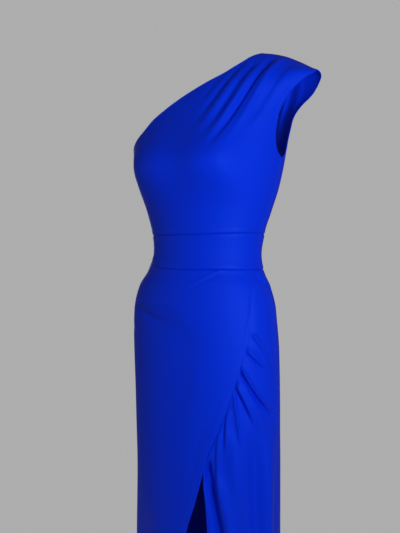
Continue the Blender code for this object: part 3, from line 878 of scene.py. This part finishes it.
def wrap_plane(angle, height):
    """The cloth drawn flat over the right hip, up to the soft line where it turns to the front."""
    heights = column(PLANE_EDGE, PLANE_EDGE_COLUMNS, "height")
    line = np.radians(column(PLANE_EDGE, PLANE_EDGE_COLUMNS, "angle")) * CHART_RADIUS
    level = np.broadcast_to(height, np.shape(angle))
    edge = smooth(heights, line, level)
    step = 0.001
    lean = (smooth(heights, line, level + step) - smooth(heights, line, level - step)) / (2 * step)
    behind = (edge - np.radians(angle) * CHART_RADIUS) / np.hypot(1, lean)
    reach = (behind + np.hypot(behind, PLANE_BLUNTING)) / (2 * PLANE_WIDTH)
    shown = ease((heights[-1] - level) / PLANE_TOP_FADE) * ease((level - PLANE_FOOT) / PLANE_FOOT_FADE)
    shown = shown * ease((angle - RIGHT_SEAM) / PLANE_SIDE_FADE)
    return -PLANE_DEPTH * np.e * reach * np.exp(-reach) * shown


def lift_wrap(angle, height):
    """The falls, the plane over the right hip and the fine drags."""
    return lift_skirt(angle, height) + wrap_plane(angle, height) + folds(WRAP_CREASES, angle, height)


def wrap_edge(height):
    """The angle at which the wrapped front ends."""
    heights = column(WRAP_EDGE, WRAP_EDGE_COLUMNS, "height")
    return smooth(heights, column(WRAP_EDGE, WRAP_EDGE_COLUMNS, "wrap_angle"), height)


def front_right_seam(heights):
    return np.full(heights.shape, float(RIGHT_SEAM))


def skirt_levels(rows):
    """Heights of a skirt's rows from the hem up, close together in the hem and where the tucks lie."""
    shares = column(LEVELS, LEVEL_COLUMNS, "share")
    return np.interp(np.linspace(0, 1, rows + 1), shares, column(LEVELS, LEVEL_COLUMNS, "height"))


def skirt_grid(left, right, columns, rows, droop=0.0, crowding=EDGE_CROWDING):
    """Rows between two edges given as angles at each height."""
    level = skirt_levels(rows)[:, None]
    u = crowded(columns, crowding)[None, :]
    sinking = ease((DROOP_TOP - level) / (DROOP_TOP - DROOP_FULL))
    sunk = sinking * ease((level - DROOP_FOOT) / (DROOP_FADE - DROOP_FOOT))
    heights = level - droop * sunk * u
    angles = left(level) * (1 - u) + right(level) * u
    rise = (band_low(angles) - BAND_LOW) * ease((level - RISE_FADE) / (BAND_LOW - RISE_FADE))
    return np.stack([angles, heights + rise], axis=-1)


def lapped_edge(levels):
    """The slanting edge: a flat lap with hardly a groove above the slit's top, turned below it."""
    free = ease((SLIT_TOP + SLIT_START - levels) / (2 * SLIT_START))
    return LAP_GROOVE * (1 - free), free, SLIT_HEM_WIDTH


wrap = cloth_shell(
    "skirt_front_wrap_cloth",
    skirt_grid(front_right_seam, wrap_edge, WRAP_COLUMNS, SKIRT_ROWS),
    lift_wrap,
    {"bottom": HEMMED, "top": SEWN, "left": SEWN, "right": lapped_edge(skirt_levels(SKIRT_ROWS))},
    SKIRT_CREPE,
)
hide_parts("skirt_front_wrap")
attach(wrap, "root")


# Skirt front, tucked piece
# The front on the wearer's left. Its tucks are let into the wrapped front's slanting edge and
# run down and out over the thigh, where they open into soft folds. The slit's edge is turned in
# as a soft roll beside the deepest fold.

KNIFE_TUCKS = (
    (51.0, -0.189, 76.0, -0.238, -0.0020, 0.0100, 0.0060, 0.0048, 0.0038, 0.0012),
    (46.5, -0.219, 92.0, -0.334, -0.0155, 0.0062, 0.0070, 0.0072, 0.0062, 0.0011),
    (41.5, -0.250, 61.0, -0.348, 0.0000, 0.0120, 0.0100, 0.0054, 0.0046, 0.0016),
    (35.5, -0.303, 34.0, -0.400, 0.0000, 0.0080, 0.0060, 0.0044, 0.0026, 0.0014),
    (28.6, -0.350, 32.0, -0.540, -0.0045, 0.0090, 0.0080, 0.0030, 0.0020, 0.0024),
)
TUCKS = (
    (58.0, -0.156, 76.0, -0.234, -0.006, 0.0044, 0.0052, 0.016),
    (49.0, -0.243, 76.0, -0.372, 0.004, 0.0100, 0.0048, 0.030),
    (41.5, -0.266, 49.0, -0.400, 0.001, 0.0034, 0.0044, 0.016),
    (60.0, -0.330, 72.0, -0.700, 0.000, 0.0200, -0.0100, 0.080),
    (38.0, -0.330, 47.0, -0.560, -0.004, 0.0120, 0.0040, 0.040),
    (19.8, -0.398, 47.0, -0.800, -0.003, 0.0072, -0.0150, 0.012),
    (28.0, -0.420, 62.0, -0.900, -0.006, 0.0110, 0.0060, 0.040),
    (46.0, -0.440, 70.0, -0.860, 0.000, 0.0120, -0.0050, 0.060),
    (15.5, -0.420, 30.0, -0.900, -0.002, 0.0060, 0.0022, 0.016),
    (22.0, -0.620, 30.0, -1.500, 0.000, 0.0120, -0.0070, 0.120),
)
TUCKED_UNDER = 0.0015
TUCKED_UNDER_WIDTH = 0.010
TUCKED_UNDER_FADE = 0.030
TUCK_HOLD = 0.008
TUCKED_COLUMNS = 150
TUCKED_ROWS = 320
TUCKED_CROWDING = 0.35


def tucked_edge(height):
    """The angle at which the tucked front starts: the same seam, until the slit opens."""
    heights = column(WRAP_EDGE, WRAP_EDGE_COLUMNS, "height")
    return wrap_edge(height) + smooth(heights, column(WRAP_EDGE, WRAP_EDGE_COLUMNS, "slit_angle"), height)


def left_seam(heights):
    return np.full(heights.shape, 90.0)


def lift_tucked(angle, height):
    """The falls, the tucks and the edge that lies under the wrapped front."""
    inward = np.radians(angle - tucked_edge(height)) * CHART_RADIUS
    near = np.exp(-((inward / TUCKED_UNDER_WIDTH) ** 2))
    under = TUCKED_UNDER * near * ease((height - SLIT_TOP) / TUCKED_UNDER_FADE)
    tucks = folds(TUCKS, angle, height) + knife_folds(KNIFE_TUCKS, angle, height)
    free = ease((SLIT_TOP - height) / TUCKED_UNDER_FADE)
    held = ease(inward / TUCK_HOLD)
    return lift_skirt(angle, height) + tucks * np.maximum(held, free) - under


tucked = cloth_shell(
    "skirt_front_tucked_cloth",
    skirt_grid(tucked_edge, left_seam, TUCKED_COLUMNS, TUCKED_ROWS, ROW_DROOP, TUCKED_CROWDING),
    lift_tucked,
    {"bottom": HEMMED, "top": SEWN, "left": lapped_edge(skirt_levels(TUCKED_ROWS)), "right": SEWN},
    SKIRT_CREPE,
)
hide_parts("skirt_front_tucked")
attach(tucked, "root")


# Skirt back
# One plain piece of the crepe from side seam to side seam, hanging from the waistband in soft
# falls, with the same turned hem as the front.

SKIRT_BACK_COLUMNS = 130
SKIRT_BACK_ROWS = 280


def back_right_seam(heights):
    return np.full(heights.shape, 270.0)


skirt_back = cloth_shell(
    "skirt_back_cloth",
    skirt_grid(left_seam, back_right_seam, SKIRT_BACK_COLUMNS, SKIRT_BACK_ROWS),
    lift_skirt,
    {"bottom": HEMMED, "top": SEWN, "left": SEWN, "right": SEWN},
    SKIRT_CREPE,
)
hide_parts("skirt_back")
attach(skirt_back, "root")


# Hem and slit stitching
# A lockstitch in matching polyester thread holds the turned hem and both turned edges of the
# slit. Its short stitches lie end to end, half sunk in the crepe.

STITCH_PITCH = 0.0030
STITCH_LENGTH = 0.0024
THREAD_THICKNESS = 0.0005
STITCH_SIDES = 8
STITCH_RINGS = 6
STITCH_FROM_STEP = 0.0022
STITCH_WAVER = 0.05
STITCH_SEED = 7
THREAD_BLUE = (0.0010, 0.040, 0.780)
THREAD_ROUGHNESS = 0.38
THREAD_GRAIN = 6000.0
THREAD_RELIEF = 0.00005


def outer_points(piece, rows, columns):
    """The outer side of a piece of cloth, as its grid of points."""
    places = np.empty(len(piece.data.vertices) * 3)
    piece.data.vertices.foreach_get("co", places)
    return places.reshape(-1, 3)[: (rows + 1) * (columns + 1)].reshape(rows + 1, columns + 1, 3)


def line_inside(points, axis, from_end, away):
    """The line on the cloth that keeps a set distance from one of its borders."""
    distances = edge_distance(points, axis, from_end)
    if axis == 0:
        points, distances = points.swapaxes(0, 1), distances.swapaxes(0, 1)
    if from_end:
        points, distances = points[:, ::-1], distances[:, ::-1]
    return np.array(
        [[np.interp(away, far, line[:, side]) for side in range(3)] for line, far in zip(points, distances)]
    )


def hem_line(piece, rows, columns):
    return line_inside(outer_points(piece, rows, columns), 0, False, HEM_WIDTH - STITCH_FROM_STEP)


def slit_line(piece, rows, columns, from_end):
    """The stitching beside the slit, from the hem up to just below the slit's top."""
    line = line_inside(outer_points(piece, rows, columns), 1, from_end, SLIT_HEM_WIDTH - STITCH_FROM_STEP)
    levels = skirt_levels(rows)
    return line[levels < SLIT_TOP - 2 * SLIT_START]


def stitch_maker():
    """Geometry nodes that lay one stitch after another along every line of the mesh."""
    tree = bpy.data.node_groups.new("stitches", "GeometryNodeTree")
    add_socket(tree, "Geometry", "NodeSocketGeometry", "INPUT")
    add_socket(tree, "Pitch", "NodeSocketFloat", "INPUT", STITCH_PITCH)
    add_socket(tree, "Stitch size", "NodeSocketVector", "INPUT")
    add_socket(tree, "Waver", "NodeSocketFloat", "INPUT", STITCH_WAVER)
    add_socket(tree, "Seed", "NodeSocketInt", "INPUT", STITCH_SEED)
    add_socket(tree, "Thread", "NodeSocketMaterial", "INPUT")
    add_socket(tree, "Geometry", "NodeSocketGeometry", "OUTPUT")
    links = tree.links
    inputs = tree.nodes.new("NodeGroupInput")
    outputs = tree.nodes.new("NodeGroupOutput")
    lines = tree.nodes.new("GeometryNodeMeshToCurve")
    points = tree.nodes.new("GeometryNodeCurveToPoints")
    points.mode = "LENGTH"
    stitch = tree.nodes.new("GeometryNodeMeshUVSphere")
    stitch.inputs["Segments"].default_value = STITCH_SIDES
    stitch.inputs["Rings"].default_value = STITCH_RINGS
    stitch.inputs["Radius"].default_value = 0.5
    spread = tree.nodes.new("FunctionNodeRandomValue")
    spread.data_type = "FLOAT_VECTOR"
    for way, limit in ((-1.0, "Min"), (1.0, "Max")):
        swing = tree.nodes.new("ShaderNodeVectorMath")
        swing.operation = "SCALE"
        swing.inputs[0].default_value = (way, way, way)
        links.new(inputs.outputs["Waver"], swing.inputs["Scale"])
        links.new(swing.outputs["Vector"], spread.inputs[limit])
    turned = tree.nodes.new("FunctionNodeRotateRotation")
    turned.rotation_space = "LOCAL"
    laid = tree.nodes.new("GeometryNodeInstanceOnPoints")
    real = tree.nodes.new("GeometryNodeRealizeInstances")
    dyed = tree.nodes.new("GeometryNodeSetMaterial")
    links.new(inputs.outputs["Geometry"], lines.inputs["Mesh"])
    links.new(lines.outputs["Curve"], points.inputs["Curve"])
    links.new(inputs.outputs["Pitch"], points.inputs["Length"])
    links.new(inputs.outputs["Seed"], spread.inputs["Seed"])
    links.new(points.outputs["Rotation"], turned.inputs["Rotation"])
    links.new(spread.outputs["Value"], turned.inputs["Rotate By"])
    links.new(points.outputs["Points"], laid.inputs["Points"])
    links.new(stitch.outputs["Mesh"], laid.inputs["Instance"])
    links.new(turned.outputs["Rotation"], laid.inputs["Rotation"])
    links.new(inputs.outputs["Stitch size"], laid.inputs["Scale"])
    links.new(laid.outputs["Instances"], real.inputs["Geometry"])
    links.new(real.outputs["Geometry"], dyed.inputs["Geometry"])
    links.new(inputs.outputs["Thread"], dyed.inputs["Material"])
    links.new(dyed.outputs["Geometry"], outputs.inputs["Geometry"])
    return tree


def thread_material():
    """Polyester sewing thread: a fine grain with a low shine."""
    material = bpy.data.materials.new("blue_thread")
    material.use_nodes = True
    nodes, links = material.node_tree.nodes, material.node_tree.links
    shader = nodes["Principled BSDF"]
    shader.inputs["Base Color"].default_value = (*THREAD_BLUE, 1.0)
    place = nodes.new("ShaderNodeTexCoord")
    grain = nodes.new("ShaderNodeTexNoise")
    grain.inputs["Scale"].default_value = THREAD_GRAIN
    relief = nodes.new("ShaderNodeBump")
    relief.inputs["Distance"].default_value = THREAD_RELIEF
    rough = nodes.new("ShaderNodeMapRange")
    rough.inputs["To Min"].default_value = THREAD_ROUGHNESS
    rough.inputs["To Max"].default_value = THREAD_ROUGHNESS + CREPE_UNEVENNESS
    links.new(place.outputs["Object"], grain.inputs["Vector"])
    links.new(grain.outputs["Fac"], relief.inputs["Height"])
    links.new(grain.outputs["Fac"], rough.inputs["Value"])
    links.new(relief.outputs["Normal"], shader.inputs["Normal"])
    links.new(rough.outputs["Result"], shader.inputs["Roughness"])
    return material


def stitched(name, lines):
    """Plain meshes of stitches along the lines."""
    ends = np.cumsum([len(line) for line in lines])
    runs = [np.arange(end - len(line), end) for end, line in zip(ends, lines)]
    edges = np.concatenate([np.stack([run[:-1], run[1:]], axis=-1) for run in runs])
    mesh = bpy.data.meshes.new(name)
    mesh.from_pydata(np.concatenate(lines).tolist(), edges.tolist(), [])
    sewing = bpy.data.objects.new(name, mesh)
    bpy.context.scene.collection.objects.link(sewing)
    maker = stitch_maker()
    modifier = sewing.modifiers.new("stitches", "NODES")
    modifier.node_group = maker
    names = {item.name: item.identifier for item in maker.interface.items_tree if item.in_out == "INPUT"}
    modifier[names["Pitch"]] = STITCH_PITCH
    modifier[names["Stitch size"]] = (THREAD_THICKNESS, THREAD_THICKNESS, STITCH_LENGTH)
    modifier[names["Waver"]] = STITCH_WAVER
    modifier[names["Seed"]] = STITCH_SEED
    modifier[names["Thread"]] = thread_material()
    plain = bpy.data.meshes.new_from_object(sewing.evaluated_get(bpy.context.evaluated_depsgraph_get()))
    sewing.modifiers.remove(modifier)
    sewing.data = plain
    plain.name = name
    plain.shade_smooth()
    return sewing


stitches = stitched(
    "hem_and_slit_stitches",
    [
        hem_line(wrap, SKIRT_ROWS, WRAP_COLUMNS),
        hem_line(tucked, TUCKED_ROWS, TUCKED_COLUMNS),
        hem_line(skirt_back, SKIRT_BACK_ROWS, SKIRT_BACK_COLUMNS),
        slit_line(wrap, SKIRT_ROWS, WRAP_COLUMNS, True),
        slit_line(tucked, TUCKED_ROWS, TUCKED_COLUMNS, False),
    ],
)
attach(stitches, "root")


# Floor, light and camera
# A pale floor under the hem, soft light from the picture's right and a camera level with the
# waist, to the left of the wearer's front.

CAMERA_AZIMUTH = 30
CAMERA_DISTANCE = 1.45
CAMERA_HEIGHT = -0.03
CAMERA_ASIDE = -0.0167
FOCAL_PIXELS = 696
PICTURE_WIDTH = 400
SENSOR_WIDTH = 36.0
FLOOR_BELOW_HEM = 0.02
FLOOR_RADIUS = 1.3
FLOOR_SIDES = 96
FLOOR_WHITE = (0.86, 0.86, 0.86)
FLOOR_ROUGHNESS = 0.8
LIT_HEIGHT = 0.05
WALL_GREY = (0.42, 0.42, 0.425)
ROOM_GREY = (0.14, 0.14, 0.14)
LIGHT_COLUMNS = ("name", "azimuth", "height", "distance", "size", "power")
LIGHTS = (
    ("key_light", 53, 0.08, 1.25, 0.5, 12.8),
    ("fill_light", -42, 0.10, 2.4, 1.6, 6.2),
    ("back_light", 212, 0.30, 2.4, 1.6, 20.0),
)


def stage_place(azimuth, distance, height, aside=0.0):
    """A place round the dress, in the row's own frame: azimuth 0 is in front, 90 at the wearer's left."""
    turn = np.radians(azimuth)
    out = np.array([np.sin(turn), -np.cos(turn), 0.0]) * distance
    right = np.array([np.cos(turn), np.sin(turn), 0.0]) * aside
    return out + right + np.array([0.0, 0.0, height]) - shoulder_rest()


def aim(thing, place, target):
    """Stands a camera or a light at a place, looking at a target."""
    thing.location = place
    thing.rotation_euler = Vector(target - place).to_track_quat("-Z", "Y").to_euler()


floor_mesh = bpy.data.meshes.new("floor")
turns = np.linspace(0, 2 * np.pi, FLOOR_SIDES, endpoint=False)
middle = stage_place(0, 0, HEM - FLOOR_BELOW_HEM)
rim = np.stack([np.cos(turns), np.sin(turns), 0 * turns], axis=-1) * FLOOR_RADIUS + middle
floor_mesh.from_pydata(rim.tolist(), [], [list(range(FLOOR_SIDES))])
floor = bpy.data.objects.new("floor", floor_mesh)
bpy.context.scene.collection.objects.link(floor)
floor_paint = bpy.data.materials.new("floor_paint")
floor_paint.use_nodes = True
floor_shader = floor_paint.node_tree.nodes["Principled BSDF"]
floor_shader.inputs["Base Color"].default_value = (*FLOOR_WHITE, 1.0)
floor_shader.inputs["Roughness"].default_value = FLOOR_ROUGHNESS
floor_mesh.materials.append(floor_paint)

lit_place = stage_place(0, 0, LIT_HEIGHT)
for row in LIGHTS:
    light = dict(zip(LIGHT_COLUMNS, row))
    lamp = bpy.data.lights.new(light["name"], "AREA")
    lamp.shape = "DISK"
    lamp.size = light["size"]
    lamp.energy = light["power"]
    lamp_object = bpy.data.objects.new(light["name"], lamp)
    bpy.context.scene.collection.objects.link(lamp_object)
    aim(lamp_object, stage_place(light["azimuth"], light["distance"], light["height"]), lit_place)

world = bpy.data.worlds.new("studio")
world.use_nodes = True
background = world.node_tree.nodes["Background"]
seen = world.node_tree.nodes.new("ShaderNodeLightPath")
walls = world.node_tree.nodes.new("ShaderNodeMix")
walls.data_type = "RGBA"
walls.inputs[6].default_value = (*ROOM_GREY, 1.0)
walls.inputs[7].default_value = (*WALL_GREY, 1.0)
world.node_tree.links.new(seen.outputs["Is Camera Ray"], walls.inputs[0])
world.node_tree.links.new(walls.outputs[2], background.inputs["Color"])
bpy.context.scene.world = world
bpy.context.scene.view_settings.view_transform = "Standard"

camera_data = bpy.data.cameras.new("camera")
camera_data.sensor_fit = "HORIZONTAL"
camera_data.sensor_width = SENSOR_WIDTH
camera_data.lens = FOCAL_PIXELS / PICTURE_WIDTH * SENSOR_WIDTH
camera = bpy.data.objects.new("camera", camera_data)
bpy.context.scene.collection.objects.link(camera)
eye = stage_place(CAMERA_AZIMUTH, CAMERA_DISTANCE, CAMERA_HEIGHT, CAMERA_ASIDE)
looked_at = stage_place(CAMERA_AZIMUTH, 0, CAMERA_HEIGHT, CAMERA_ASIDE)
aim(camera, eye, looked_at)
bpy.context.scene.camera = camera
